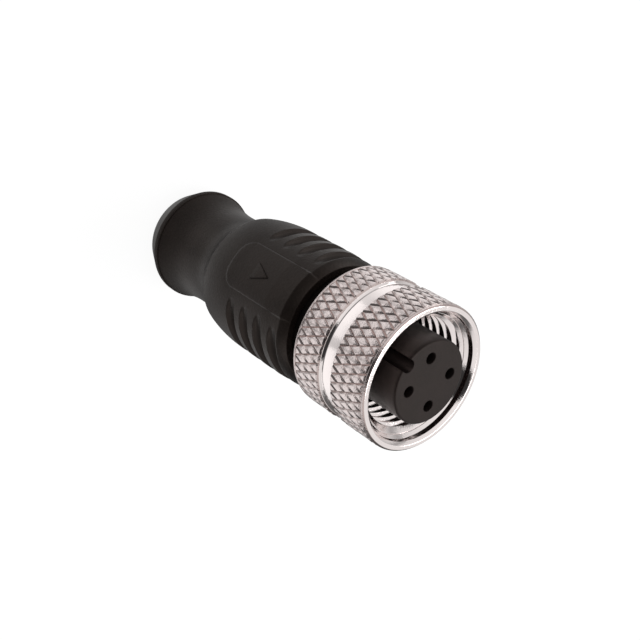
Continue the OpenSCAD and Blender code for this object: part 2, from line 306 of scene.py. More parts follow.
@dataclass(frozen=True)
class MouldedPlastic:
    """Plastic from a spark-eroded mould: fine grain, soft mottling and faint handling marks."""

    name: str
    dark: tuple
    light: tuple
    roughness: float
    grain_mm: float = 0.11
    grain_depth_mm: float = 0.006
    shine: float = 0.35
    zones: tuple[CoarseZone, ...] = ()
    mottle_mm: float = 2.4
    scuff_mm: float = 0.7
    grain_haze: float = 0.12
    scuff_haze: float = 0.06
    sheen: tuple = (1.0, 0.81, 0.72, 1.0)

    def build(self) -> bpy.types.Material:
        """Build the finish.

        Returns:
            The material.
        """
        sh = Shader(bpy.data.materials.new(self.name))
        grain = sh.noise(self.grain_mm, 3.0, 0.6)
        cloud = sh.noise(self.mottle_mm, 4.0, 0.55)
        scuff = sh.ramp(sh.noise(self.scuff_mm, 5.0, 0.7), 0.56, 0.74)
        colour = sh.blend(sh.ramp(cloud, 0.3, 0.7), self.dark, self.light)
        roughness = self.roughness + self.grain_haze * (grain - 0.5) + self.scuff_haze * scuff
        for zone in self.zones:
            roughness = roughness + zone.build(sh)
        return sh.surface(
            Base_Color=colour,
            Roughness=roughness,
            Specular_IOR_Level=self.shine,
            Specular_Tint=self.sheen,
            Normal=sh.bump(grain, self.grain_depth_mm),
        )


@dataclass(frozen=True)
class PlatedNickel:
    """Bright nickel on turned and knurled brass, with tool lines, rougher roots and painted shade in the knurl."""

    name: str
    bright: tuple
    knurl: tuple
    root: tuple
    root_radius_mm: float
    knurl_height_mm: float
    bore_radius_mm: float
    line_mm: float = 0.09
    line_depth_mm: float = 0.0012
    wave_mm: float = 0.8
    wave_depth_mm: float = 0.035
    pit_mm: float = 0.16
    pit_depth_mm: float = 0.006

    def build(self) -> bpy.types.Material:
        """Build the finish.

        Returns:
            The material.
        """
        sh = Shader(bpy.data.materials.new(self.name))
        radius = sh.radius()
        travel = (sh.height() + radius) * (1 / (self.line_mm * MM))
        lines = sh.node("ShaderNodeTexNoise", {"noise_dimensions": "1D"}, {"W": travel, "Detail": 3.0})
        haze = sh.noise(1.6, 4.0, 0.6)
        waves = sh.noise(self.wave_mm, 3.0, 0.5)
        pits = sh.ramp(sh.noise(self.pit_mm, 2.0), 0.3, 0.62)
        root, bore = self.root_radius_mm, self.bore_radius_mm
        # deep: share of the way up from the knurl's roots; it sets the painted shade and, through dull, the rougher
        # roots.
        deep = sh.ramp(radius, root * MM, (root + 0.6 * self.knurl_height_mm) * MM)
        outer = sh.ramp(radius, bore * MM, (bore + 0.3) * MM)
        band = sh.ramp(radius, (root - 0.1) * MM, (root - 0.05) * MM)
        dull = (1 - deep) * band * outer
        # Turned surfaces get the brightest tone; painted shade darkens the knurl from its peaks to its roots.
        colour = sh.blend(band * outer, self.bright, sh.blend(deep, self.root, self.knurl))
        roughness = 0.03 + 0.04 * haze + (0.06 * (1 - pits) + 0.03) * outer * band + 0.06 * dull
        dents = (waves * self.wave_depth_mm + pits * self.pit_depth_mm) * (0.25 + 0.75 * (band * outer))
        normal = sh.bump(lines, self.line_depth_mm, sh.bump(dents, 1.0))
        return sh.surface(Base_Color=colour, Metallic=1.0, Roughness=roughness, Normal=normal)


@dataclass(frozen=True)
class PlatedWire:
    """Plated contact or lead metal, drawn or turned, slightly hazed."""

    name: str
    bright: tuple
    dull: tuple
    roughness: float

    def build(self) -> bpy.types.Material:
        """Build the finish.

        Returns:
            The material.
        """
        sh = Shader(bpy.data.materials.new(self.name))
        haze = sh.noise(0.5, 4.0, 0.6)
        colour = sh.blend(sh.ramp(haze, 0.35, 0.7), self.bright, self.dull)
        roughness = self.roughness + 0.1 * haze
        normal = sh.bump(sh.noise(0.08, 2.0), 0.002)
        return sh.surface(Base_Color=colour, Metallic=1.0, Roughness=roughness, Normal=normal)


@dataclass(frozen=True)
class BandedLacquer:
    """Resistor lacquer with value bands that are painted round it."""

    name: str
    ground: tuple
    bands: tuple[tuple, ...]
    start_mm: float
    length_mm: float
    first_band: float = 0.14
    band_step: float = 0.17
    band_width: float = 0.07

    def build(self) -> bpy.types.Material:
        """Build the finish.

        Returns:
            The material.
        """
        sh = Shader(bpy.data.materials.new(self.name))
        along = (sh.height() - self.start_mm * MM) * (1 / (self.length_mm * MM))
        stops = [(0.0, self.ground)]
        for index, colour in enumerate(self.bands):
            place = self.first_band + self.band_step * index
            stops += [(place, colour), (place + self.band_width, self.ground)]
        colour = sh.node("ShaderNodeValToRGB", {"stops": stops}, {"Fac": along})
        colour.socket.node.color_ramp.interpolation = "CONSTANT"
        roughness = 0.22 + 0.12 * sh.noise(0.4, 3.0)
        return sh.surface(Base_Color=colour, Roughness=roughness, Coat_Weight=0.3)


# ---------------------------------------------------------------------------------------------- mesh helpers


def node_box(node: str) -> tuple[Vector, Vector]:
    """Return a CAD node's lowest and highest corner, in millimetres."""
    low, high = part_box(node)
    return low / MM, high / MM


def fillet(points: Sequence[Point], radius: float, segments: int = 3) -> list[Point]:
    """Round an outline's inner corners.

    Args:
        points: The outline's corners, from end to end.
        radius: Radius of the rounding, or less where a side is short.
        segments: Straight pieces in each round.

    Returns:
        The outline with an arc in place of each corner but the first and the last.
    """
    made = [points[0]]
    for before, corner, after in zip(points, points[1:], points[2:]):
        here = Vector(corner)
        back, on = Vector(before) - here, Vector(after) - here
        half = back.angle(on) / 2
        trim = min(radius / math.tan(half), 0.45 * back.length, 0.45 * on.length)
        start, end = here + back.normalized() * trim, here + on.normalized() * trim
        for step in range(segments + 1):
            share = step / segments
            curve = start * (1 - share) ** 2 + here * (2 * share * (1 - share)) + end * share**2
            made.append(tuple(curve))
    made.append(points[-1])
    return made


def refine(points: Sequence[Point], step: float) -> list[Point]:
    """Split an outline's long sides.

    Args:
        points: The outline's corners.
        step: The longest side that stays whole.

    Returns:
        The outline with the added points.
    """
    made = [points[0]]
    for start, end in zip(points, points[1:]):
        count = max(1, math.ceil(math.dist(start, end) / step))
        made += [tuple(Vector(start).lerp(Vector(end), index / count)) for index in range(1, count + 1)]
    return made


def sweep(start: Point, end: Point, bend: float, count: int) -> list[Point]:
    """Return a curve of (radius, height) points after start.

    Args:
        start: Where the curve starts.
        end: Where it ends.
        bend: Above 1 the curve is steady at its start, below 0 it is steady at its end.
        count: How many points it has.

    Returns:
        The points, without the start.
    """
    made = []
    for index in range(1, count + 1):
        share = index / count
        rise = share**bend if bend > 0 else 1 - (1 - share) ** -bend
        made.append((start[0] + (end[0] - start[0]) * rise, start[1] + (end[1] - start[1]) * share))
    return made


def revolve(outline: Sequence[Point], steps: int, closed: bool) -> bmesh.types.BMesh:
    """Spin an outline of (radius, height) points round the plug's axis.

    Args:
        outline: The points in order.
        steps: Columns round the axis.
        closed: True where the last point joins the first, as on a ring.

    Returns:
        The shape, with its faces outwards.
    """
    bm = bmesh.new()
    verts = [bm.verts.new((radius, 0, height)) for radius, height in outline]
    edges = [bm.edges.new(pair) for pair in zip(verts, verts[1:])]
    if closed:
        edges.append(bm.edges.new((verts[-1], verts[0])))
    bmesh.ops.spin(
        bm, geom=verts + edges, cent=(0, 0, 0), axis=(0, 0, 1), dvec=(0, 0, 0), angle=math.tau, steps=steps,
        use_merge=True, use_duplicate=False,
    )
    bmesh.ops.remove_doubles(bm, verts=bm.verts, dist=1e-5)
    bmesh.ops.recalc_face_normals(bm, faces=bm.faces)
    return bm


def by_place(verts: Iterable[bmesh.types.BMVert]) -> list[bmesh.types.BMVert]:
    """Return vertices from low to high and round the axis, an order that is the same in every run."""
    return sorted(verts, key=lambda vert: (round(vert.co.z, 4), round(math.atan2(vert.co.y, vert.co.x), 4)))


def move(bm: bmesh.types.BMesh, shift: Sequence[float]) -> None:
    """Shift a whole shape."""
    bmesh.ops.translate(bm, verts=bm.verts, vec=shift)


def extrude(bm: bmesh.types.BMesh, height: float) -> None:
    """Raise a copy of a flat shape and close the sides.

    Args:
        bm: The shape.
        height: How far up the copy goes.
    """
    lifted = bmesh.ops.extrude_face_region(bm, geom=bm.faces[:])["geom"]
    top = [item for item in lifted if isinstance(item, bmesh.types.BMVert)]
    bmesh.ops.translate(bm, verts=top, vec=(0, 0, height))


def soften(bm: bmesh.types.BMesh, edges: Sequence[bmesh.types.BMEdge], offset: float) -> None:
    """Round edges by a bevel.

    Args:
        bm: The shape.
        edges: Its edges to round.
        offset: How wide the bevel is on each side.
    """
    bmesh.ops.bevel(
        bm, geom=edges, offset=offset, segments=2, profile=0.5, affect="EDGES", material=-1, clamp_overlap=True,
    )


def merge(target: bmesh.types.BMesh, source: bmesh.types.BMesh) -> None:
    """Add a shape's parts to another.

    Args:
        target: The shape that grows.
        source: The shape to add, which is freed.
    """
    spare = bpy.data.meshes.new("spare")
    source.to_mesh(spare)
    source.free()
    target.from_mesh(spare)
    bpy.data.meshes.remove(spare)


def as_object(bm: bmesh.types.BMesh, name: str, sharp_deg: float = SHARP_DEG) -> bpy.types.Object:
    """Turn a shape in millimetres into an object in metres, smooth but for its sharp edges.

    Args:
        bm: The shape, which is freed.
        name: The piece's name.
        sharp_deg: Edges that bend more than this stay sharp.

    Returns:
        The object.
    """
    bmesh.ops.scale(bm, vec=(MM, MM, MM), verts=bm.verts)
    mesh = bpy.data.meshes.new(name)
    shade(bm, mesh, sharp_deg)
    piece = bpy.data.objects.new(name, mesh)
    bpy.context.scene.collection.objects.link(piece)
    return piece


def shade(bm: bmesh.types.BMesh, mesh: bpy.types.Mesh, sharp_deg: float) -> None:
    """Smooth a shape but for its level faces and its sharp edges, and write it to a mesh.

    Args:
        bm: The shape, which is freed.
        mesh: The mesh to fill.
        sharp_deg: Edges that bend more than this stay sharp.
    """
    bm.normal_update()
    for face in bm.faces:
        face.smooth = abs(face.normal.z) < LEVEL
    for edge in bm.edges:
        edge.smooth = not edge.is_manifold or edge.calc_face_angle(0.0) < math.radians(sharp_deg)
    bm.to_mesh(mesh)
    bm.free()


def cut(piece: bpy.types.Object, cutters: Sequence[bpy.types.Object]) -> None:
    """Cut objects out of a piece and shade it again.

    Args:
        piece: The piece.
        cutters: The objects to cut out, which are removed.
    """
    for cutter in cutters:
        modifier = piece.modifiers.new(cutter.name, "BOOLEAN")
        modifier.operation = "DIFFERENCE"
        modifier.solver = "EXACT"
        modifier.object = cutter
    graph = bpy.context.evaluated_depsgraph_get()
    mesh = bpy.data.meshes.new_from_object(piece.evaluated_get(graph))
    piece.modifiers.clear()
    bm = bmesh.new()
    bm.from_mesh(mesh)
    shade(bm, mesh, SHARP_DEG)
    piece.data = mesh
    for cutter in cutters:
        bpy.data.objects.remove(cutter)


def dress(piece: bpy.types.Object, material: bpy.types.Material) -> None:
    """Give a piece its finish.

    Args:
        piece: The piece.
        material: Its material.
    """
    piece.data.materials.clear()
    piece.data.materials.append(material)


def report(piece: bpy.types.Object) -> None:
    """Log a piece's name and size."""
    triangles = sum(len(face.vertices) - 2 for face in piece.data.polygons)
    LOG.info("%s: %d triangles", piece.name, triangles)


# ---------------------------------------------------------------------------------------------- sub-assemblies


@dataclass
class GripBody:
    """Outer moulding: flared closed end, waist, domed shoulder, grooved grip, label pad. Millimetres."""

    length: float
    grip_r: float = 7.049
    flare_r: float = 6.25
    flare_at: float = 2.4
    end_chamfer: float = 1.1
    lip_len: float = 0.6
    lip_step: float = 0.1
    waist_r: float = 5.35
    waist_at: float = 8.2
    brow_drop: float = 0.6
    brow_at: float = 12.95
    crest_at: float = 17.6
    taper_len: float = 2.6
    taper_drop: float = 0.15
    chamfer_len: float = 0.9
    chamfer_drop: float = 0.5
    grooves: int = 4
    groove_land: float = 0.8
    groove_pitch: float = 2.3
    groove_r: float = 0.75
    groove_cut: float = 0.6
    groove_end_deg: float = 29.0
    groove_fade: float = 4.5
    groove_soft: float = 0.06
    pad_len: float = 9.65
    pad_w: float = 5.1
    pad_corner: float = 1.5
    pad_h: float = 0.14
    pad_edge_w: float = 0.1
    mark_len: float = 2.2
    mark_w: float = 1.8
    mark_h: float = 0.14
    mark_sunk: float = 0.2
    mark_round: float = 0.035
    rear_round: float = 0.12
    brow_round: float = 2.0
    front_round: float = 0.1
    skin_step: float = 0.1
    fit_gap: float = 0.02
    cavity_steps: tuple[Point, ...] = ((0.0, 15.2), (1.9, 12.7), (1.9, 4.58))
    sharp_deg: float = 50.0
    columns: int = 480

    @property
    def edge_z(self) -> float:
        """Height of the grip's front edge."""
        return self.length - self.chamfer_len

    def outline(self) -> list[Point]:
        """Work out the section. A cavity step is its distance inwards and its height.

        Returns:
            Points of (radius, height), from the rear end's centre over the skin to the cavity's rear end.
        """
        lip_z = self.flare_at + self.lip_len
        lip = (self.flare_r - self.lip_step, lip_z)
        waist = (self.waist_r, self.waist_at)
        brow = (self.grip_r - self.brow_drop, self.brow_at)
        crest = (self.grip_r, self.crest_at)
        front_r = self.grip_r - self.taper_drop
        rear = [
            (0, 0), (self.flare_r - self.end_chamfer, 0), (self.flare_r, self.flare_at), (self.flare_r, lip_z), lip,
        ]
        rise = sweep(lip, waist, -2, 16) + sweep(waist, brow, 3, 16)
        crown = sweep(brow, crest, -2, 28)
        taper = [(self.grip_r, self.edge_z - self.taper_len), (front_r, self.edge_z)]
        face_r = front_r - self.chamfer_drop
        cavity_r = node_box("inner_core")[1].x + self.fit_gap
        front = [taper[-1], (face_r, self.length), (cavity_r, self.length), (cavity_r, self.length - 1)]
        curves = rise[:-2] + fillet([rise[-2], rise[-1], crown[1]], self.brow_round, 6) + crown[2:]
        skin = fillet(rear, self.rear_round) + curves + refine([curves[-1]] + taper, self.skin_step)[1:-1]
        cavity = [(cavity_r - inwards, height) for inwards, height in self.cavity_steps]
        return skin + fillet(front, self.front_round) + cavity + [(0, cavity[-1][1])]

    def _pad(self, across: float, height: float) -> float:
        """Work out the label pad's relief.

        Args:
            across: Distance from the pad's middle line.
            height: Height along the plug.

        Returns:
            How far the pad stands out of the skin there.
        """
        corner_z = self.edge_z - self.pad_len + self.pad_corner
        side = abs(across) - self.pad_w / 2
        behind = corner_z - height
        inner = side + self.pad_corner
        if behind <= 0:
            outside = side
        elif inner <= 0:
            outside = behind - self.pad_corner
        else:
            outside = math.hypot(inner, behind) - self.pad_corner
        share = min(1.0, max(0.0, 0.5 - outside / self.pad_edge_w))
        return self.pad_h * share * share * (3 - 2 * share)

    def _groove(self, turn: float, height: float, skin: float) -> float:
        """Cut the side grooves, which run out before the label pad, into the skin.

        Args:
            turn: Angle round the plug, in radians.
            height: Height along the plug.
            skin: The uncut radius there.

        Returns:
            The radius with the grooves.
        """
        soft = self.groove_soft
        share = abs(math.remainder(turn, math.pi)) / math.radians(90 - self.groove_end_deg)
        depth = self.groove_cut * (1 - share**self.groove_fade)
        for index in range(self.grooves):
            middle = self.edge_z - self.groove_land - index * self.groove_pitch
            room = self.groove_r**2 - (height - middle) ** 2
            if depth > 0 and room > 0:
                floor = self.grip_r + self.groove_r - depth - math.sqrt(room)
                mix = max(0.0, min(1.0, 0.5 + 0.5 * (floor - skin) / soft))
                skin = floor + (skin - floor) * mix - soft * mix * (1 - mix)
        return skin

    def _sculpt(self, bm: bmesh.types.BMesh) -> None:
        """Press the grooves into the skin and raise the label pad.

        Args:
            bm: The turned body.
        """
        skin_from = self.grip_r - self.brow_drop
        for vert in bm.verts:
            radius = vert.co.xy.length
            if radius < skin_from or not self.brow_at < vert.co.z <= self.edge_z + 0.01:
                continue
            turn = math.atan2(vert.co.y, vert.co.x)
            wanted = self._groove(turn, vert.co.z, radius)
            if vert.co.y < 0:
                wanted += self._pad(vert.co.x, vert.co.z)
            vert.co.xy *= wanted / radius

    def _key_mark(self) -> bmesh.types.BMesh:
        """Make the raised arrowhead that points to the mating face, in line with the key slot.

        Returns:
            The arrowhead in its place.
        """
        bm = bmesh.new()
        bmesh.ops.create_circle(bm, cap_ends=True, segments=3, radius=self.mark_len * 2 / 3)
        wide = self.mark_len * math.sqrt(4 / 3)
        bmesh.ops.scale(bm, vec=(self.mark_w / wide, 1, 1), verts=bm.verts)
        move(bm, (0, 0, -self.mark_sunk))
        extrude(bm, self.mark_sunk + self.mark_h)
        soften(bm, [edge for edge in bm.edges if all(vert.co.z > 0 for vert in edge.verts)], self.mark_round)
        bmesh.ops.rotate(bm, verts=bm.verts, cent=(0, 0, 0), matrix=Matrix.Rotation(math.pi / 2, 3, "X"))
        middle = self.edge_z - self.pad_len / 2 - self.mark_len / 6
        move(bm, (0, -self.grip_r - self.pad_h, middle))
        bmesh.ops.recalc_face_normals(bm, faces=bm.faces)
        return bm

    def build(self, material: bpy.types.Material) -> bpy.types.Object:
        """Build the body.

        Args:
            material: Its finish.

        Returns:
            The dressed body.
        """
        bm = revolve(self.outline(), self.columns, closed=False)
        self._sculpt(bm)
        merge(bm, self._key_mark())
        piece = as_object(bm, "grip_moulding", self.sharp_deg)
        dress(piece, material)
        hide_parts("grip_body")
        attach(piece, Body.PLUG.value)
        return piece


@dataclass
class CouplingNut:
    """Union nut with two diamond-knurled bands and a helical inner thread. Millimetres."""

    base: float
    length: float
    root_r: float = 7.13
    knurl_h: float = 0.22
    knurl_count: int = 50
    cell_len: float = 1.04
    rear_rows: int = 3
    front_rows: int = 4
    rear_ring: float = 0.35
    front_rim: float = 0.33
    chamfer: float = 0.2
    groove_depth: float = 0.3
    groove_wall: float = 0.5
    groove_lean: float = 0.06
    groove_flare: float = 0.1
    flange_len: float = 1.8
    flange_bore_r: float = 4.549
    flange_chamfer: float = 0.2
    relief_len: float = 0.7
    mouth_r: float = 6.35
    mouth_len: float = 0.8
    mouth_chamfer: float = 0.3
    major_r: float = 6.0
    pitch: float = 1.0
    bore_gap: float = 0.03
    lining_wall: float = 0.2
    thread_step: float = 0.07
    thread_columns: int = 96
    valley_w: float = 0.125
    valley_depth: float = 0.13
    crown: float = 0.012
    tilt: float = 0.026
    seed: int = 12
    diamond_round: float = 0.03
    corner_round: float = 0.2
    ring_slope: float = 0.06
    rear_round: float = 0.05
    front_round: float = 0.07
    sharp_deg: float = 33.0

    @property
    def columns(self) -> int:
        """Columns round the nut: one at each root and each peak."""
        return 2 * self.knurl_count

    @property
    def rows(self) -> int:
        """Half diamonds along the blank, from the rear ring to the front rim."""
        return round((self.length - self.rear_ring - self.front_rim) / self.cell_len)

    @property
    def row_len(self) -> float:
        """Length of half a diamond, fitted to the blank."""
        return (self.length - self.rear_ring - self.front_rim) / self.rows

    def outline(self) -> list[Point]:
        """Work out the blank's section.

        Returns:
            Points of (radius, height) of a closed ring, with the knurl at its roots.
        """
        ring = self.root_r + self.knurl_h / 2
        rim = self.length - self.front_rim
        bore = self.major_r + self.bore_gap
        lead_in = self.length - self.mouth_len
        rows = [(self.root_r, self.rear_ring + index * self.row_len) for index in range(1, self.rows)]
        tail = [
            (self.flange_bore_r, self.flange_chamfer), (self.flange_bore_r + self.flange_chamfer, 0),
            (ring - self.chamfer, 0), (ring, self.chamfer), (ring, self.rear_ring - self.ring_slope),
            (self.root_r, self.rear_ring),
        ]
        head = [
            (self.root_r, rim), (ring, rim + self.ring_slope), (ring, self.length - self.chamfer),
            (ring - self.chamfer, self.length), (self.mouth_r + self.mouth_chamfer, self.length),
            (self.mouth_r, self.length - self.mouth_chamfer), (self.mouth_r, lead_in),
            (bore, lead_in - (self.mouth_r - bore)), (bore, self.flange_len + 0.01),
        ]
        flange = [(bore, self.flange_len), (self.flange_bore_r, self.flange_len)]
        return fillet(tail, self.rear_round) + rows + fillet(head, self.front_round) + flange

    def _groove_tool(self) -> bpy.types.Object:
        """Make the ring that is turned off between the knurled bands.

        Returns:
            The ring, which leaves a sloping rear wall and a plain floor.
        """
        outside = self.root_r + 2 * self.knurl_h
        peak = self.root_r + self.knurl_h
        floor = self.root_r - self.groove_depth
        wall = self.rear_ring + self.rear_rows * self.row_len
        front = self.length - self.front_rim - self.front_rows * self.row_len
        slope = (outside - peak) * self.groove_wall / (peak - floor)
        corners = [
            (outside, wall - slope), (floor, wall + self.groove_wall), (floor, front - self.groove_lean),
            (outside, front + self.groove_flare),
        ]
        outline = fillet(corners, self.corner_round, 6)
        return as_object(revolve(outline, 2 * self.columns, closed=True), "groove_tool")

    def _cell(self, vert: bmesh.types.BMVert) -> tuple[int, int]:
        """Return a knurl vertex's column and row."""
        turn = math.atan2(vert.co.y, vert.co.x) / math.tau
        return round(turn * self.columns) % self.columns, round((vert.co.z - self.rear_ring) / self.row_len)

    def _is_root(self, vert: bmesh.types.BMVert) -> bool:
        """Tell a root of the knurl from a peak."""
        return sum(self._cell(vert)) % 2 == 0

    def _knurl(self, bm: bmesh.types.BMesh) -> None:
        """Turn the blank's grid of cells into slightly uneven diamonds with valleys between them.

        Args:
            bm: The blank.
        """
        near = 1e-3
        low, high = self.rear_ring - near, self.length - self.front_rim + near

        def on_band(vert: bmesh.types.BMVert) -> bool:
            """Tell whether a vertex lies on the knurl's roots."""
            return low < vert.co.z < high and abs(vert.co.xy.length - self.root_r) < near

        cells = [face for face in bm.faces if all(on_band(vert) for vert in face.verts)]
        verts = {vert for face in cells for vert in face.verts}
        peaks = [vert for vert in by_place(verts) if not self._is_root(vert)]
        for face in cells:
            bmesh.ops.connect_verts(bm, verts=[vert for vert in face.verts if self._is_root(vert)])
        inner = [vert for vert in peaks if 0 < self._cell(vert)[1] < self.rows]
        ends = [vert for vert in peaks if self._cell(vert)[1] in (0, self.rows)]
        spines = [
            edge for vert in ends for edge in vert.link_edges
            if edge.other_vert(vert) in verts and abs(edge.other_vert(vert).co.z - vert.co.z) > self.row_len / 2
        ]
        bmesh.ops.dissolve_edges(bm, edges=spines, use_verts=False, use_face_split=False)
        bmesh.ops.dissolve_verts(bm, verts=inner, use_face_split=False, use_boundary_tear=False)
        diamonds = [face for face in bm.faces if all(on_band(vert) for vert in face.verts)]
        bmesh.ops.inset_individual(
            bm, faces=diamonds, thickness=self.valley_w, depth=self.valley_depth, use_even_offset=True,
        )
        chance = random.Random(self.seed)
        for vert in by_place(vert for face in diamonds for vert in face.verts):
            vert.co.xy *= 1 + chance.uniform(-self.tilt, self.tilt) / self.root_r
        rims = [edge for face in diamonds for edge in face.edges]
        bmesh.ops.poke(
            bm, faces=diamonds, offset=self.crown, center_mode="MEAN_WEIGHTED", use_relative_offset=False,
        )
        soften(bm, rims, self.diamond_round)

    def _thread(self) -> bmesh.types.BMesh:
        """Make the threaded lining: a helical sweep of one pitch that the mouth's lead-in cuts off.

        Returns:
            The lining, as a closed ring that is sunk in the nut.
        """
        steps = self.thread_columns
        depth = THREAD_DEPTH * self.pitch
        minor_r = self.major_r - depth
        start = self.flange_len + self.relief_len
        lead_in = self.length - self.mouth_len
        end = lead_in - (self.mouth_r - self.major_r)
        crest, flank = self.pitch / 8, depth * math.tan(math.radians(THREAD_FLANK_DEG))
        corners = [
            (minor_r, -crest), (minor_r, crest), (self.major_r, crest + flank),
            (self.major_r, self.pitch - crest - flank), (minor_r, self.pitch - crest),
        ]
        outline = refine(corners, self.thread_step * self.pitch)
        bm = bmesh.new()
        verts = [bm.verts.new((radius, 0, height + start - self.pitch)) for radius, height in outline]
        edges = [bm.edges.new(pair) for pair in zip(verts, verts[1:])]
        turns = math.ceil((end - start) / self.pitch) + 2
        bmesh.ops.spin(
            bm, geom=verts + edges, cent=(0, 0, 0), axis=(0, 0, 1), dvec=(0, 0, self.pitch / steps),
            angle=math.tau * turns, steps=steps * turns, use_merge=False, use_duplicate=False,
        )
        bmesh.ops.remove_doubles(bm, verts=bm.verts, dist=1e-4)
        for plane, normal in ((start, (0, 0, -1)), (end, (0, 0, 1))):
            bmesh.ops.bisect_plane(
                bm, geom=bm.verts[:] + bm.edges[:] + bm.faces[:], dist=1e-6, plane_co=(0, 0, plane),
                plane_no=normal, clear_outer=True,
            )
        for vert in bm.verts:
            radius = vert.co.xy.length
            cone = self.mouth_r - (lead_in - vert.co.z)
            vert.co.xy *= max(radius, cone) / radius
        self._back_wall(bm, start, end)
        return bm

    def _back_wall(self, bm: bmesh.types.BMesh, start: float, end: float) -> None:
        """Close the threaded lining with flat ends and an outer wall.

        Args:
            bm: The lining.
            start: Height of its rear end.
            end: Height of its front end.
        """
        wall_r = self.major_r + self.lining_wall
        loops = []
        for height in (start, end):
            rim = [
                edge for edge in bm.edges
                if edge.is_boundary and all(abs(vert.co.z - height) < 1e-4 for vert in edge.verts)
            ]
            grown = bmesh.ops.extrude_edge_only(bm, edges=rim)["geom"]
            for item in grown:
                if isinstance(item, bmesh.types.BMVert):
                    item.co.xy *= wall_r / item.co.xy.length
            loops += [item for item in grown if isinstance(item, bmesh.types.BMEdge) and item.is_boundary]
        bmesh.ops.bridge_loops(bm, edges=loops)
        bmesh.ops.recalc_face_normals(bm, faces=bm.faces)

    def build(self, material: bpy.types.Material) -> bpy.types.Object:
        """Build the nut.

        Args:
            material: Its finish.

        Returns:
            The dressed nut.
        """
        blank = revolve(self.outline(), self.columns, closed=True)
        self._knurl(blank)
        piece = as_object(blank, "knurled_nut")
        cut(piece, [self._groove_tool()])
        bm = bmesh.new()
        bm.from_mesh(piece.data)
        bmesh.ops.scale(bm, vec=(1 / MM,) * 3, verts=bm.verts)
        merge(bm, self._thread())
        move(bm, (0, 0, self.base))
        bpy.data.objects.remove(piece)
        piece = as_object(bm, "knurled_nut", self.sharp_deg)
        dress(piece, material)
        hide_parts("coupling_nut")
        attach(piece, Body.NUT.value)
        return piece


@dataclass
class ContactCarrier:
    """Insulating insert with key slot and contact holes, shoulder, neck and grooved tail. Millimetres."""

    tail_z: float
    face_z: float
    insert_z: float
    insert_r: float = 4.149
    shoulder_r: float = 5.099
    shoulder_len: float = 1.2
    neck_r: float = 4.299
    tail_groove: float = 0.4
    tail_len: float = 8.8
    key_w: float = 1.3
    key_depth: float = 1.0
    key_len: float = 6.3
    face_round: float = 0.22
    face_band: float = 0.4
    contact_circle: float = 5.0
    hole_d: float = 1.1
    hole_sink: float = 0.07
    front_web: float = 1.2
    chamber_r: float = 0.86
    overcut: float = 1.0
    columns: int = 128
    hole_columns: int = 40

    def outline(self) -> list[Point]:
        """Work out the section.

        Returns:
            Points of (radius, height), from the tail's centre to the mating face's centre.
        """
        unit = self.tail_len / 8
        shoulder_z = self.insert_z - self.shoulder_len
        corners = [(0, self.tail_z), (self.neck_r, self.tail_z)]
        for start in (2, 5):
            low, high = self.tail_z + start * unit, self.tail_z + (start + 1) * unit
            inner = self.neck_r - self.tail_groove
            corners += [(self.neck_r, low), (inner, low), (inner, high), (self.neck_r, high)]
        corners += [
            (self.neck_r, shoulder_z), (self.shoulder_r, shoulder_z), (self.shoulder_r, self.insert_z),
            (self.insert_r, self.insert_z), (self.insert_r, self.face_z - self.face_band),
            (self.insert_r, self.face_z), (self.insert_r - self.face_band, self.face_z), (0, self.face_z),
        ]
        return fillet(corners, self.face_round, 4)

    def _key_cutter(self) -> bpy.types.Object:
        """Make the key slot's space.

        Returns:
            A round-bottomed channel that is open to the insert's side.
        """
        middle = self.insert_r - self.key_depth + self.key_w / 2
        bm = bmesh.new()
        bmesh.ops.create_circle(bm, cap_ends=True, segments=48, radius=self.key_w / 2)
        outer = [vert for vert in bm.verts if vert.co.y < 1e-4]
        for vert in outer:
            vert.co.x = math.copysign(self.key_w / 2, vert.co.x)
        bmesh.ops.remove_doubles(bm, verts=bm.verts, dist=1e-6)
        reach = self.insert_r + self.overcut - middle
        bmesh.ops.translate(bm, verts=[vert for vert in bm.verts if vert.co.y < 1e-4], vec=(0, -reach, 0))
        extrude(bm, self.key_len + self.overcut)
        move(bm, (0, -middle, self.face_z - self.key_len))
        bmesh.ops.recalc_face_normals(bm, faces=bm.faces)
        return as_object(bm, "key_cutter")

    def _hole_cutter(self, index: int) -> bpy.types.Object:
        """Make one contact's space: chamber, hole and a slight countersink in the face.

        Args:
            index: The contact's number, from 0.

        Returns:
            The space.
        """
        over, sink = self.overcut, self.hole_sink
        hole_r, web_z = self.hole_d / 2, self.face_z - self.front_web
        outline = [
            (0, self.tail_z - over), (self.chamber_r, self.tail_z - over), (self.chamber_r, web_z),
            (hole_r, web_z), (hole_r, self.face_z - sink), (hole_r + 0.3 * sink, self.face_z - 0.3 * sink),
            (hole_r + sink, self.face_z), (hole_r + sink, self.face_z + over), (0, self.face_z + over),
        ]
        bm = revolve(outline, self.hole_columns, closed=False)
        turn = math.radians(-45 + 90 * index)
        ring_r = self.contact_circle / 2
        move(bm, (ring_r * math.cos(turn), ring_r * math.sin(turn), 0))
        return as_object(bm, f"hole_cutter_{index}")

    def build(self, material: bpy.types.Material) -> bpy.types.Object:
        """Build the carrier.

        Args:
            material: Its finish.

        Returns:
            The dressed carrier.
        """
        piece = as_object(revolve(self.outline(), self.columns, closed=False), "keyed_insert")
        cut(piece, [self._key_cutter()] + [self._hole_cutter(index) for index in range(4)])
        dress(piece, material)
        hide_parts("contact_carrier")
        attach(piece, Body.PLUG.value)
        return piece


@dataclass
class KeptNodes:
    """CAD pieces whose own shape stays, with a finish for each."""

    finishes: dict[str, tuple[bpy.types.Material, Slot]]

    def dress(self, nodes: dict[str, bpy.types.Object]) -> list[bpy.types.Object]:
        """Give the pieces their finishes.

        Args:
            nodes: The CAD pieces by node name.

        Returns:
            The pieces that got one.
        """
        for name, (material, slot) in self.finishes.items():
            dress(nodes[name], material)
        return [nodes[name] for name in self.finishes]


# ---------------------------------------------------------------------------------------------------- studio


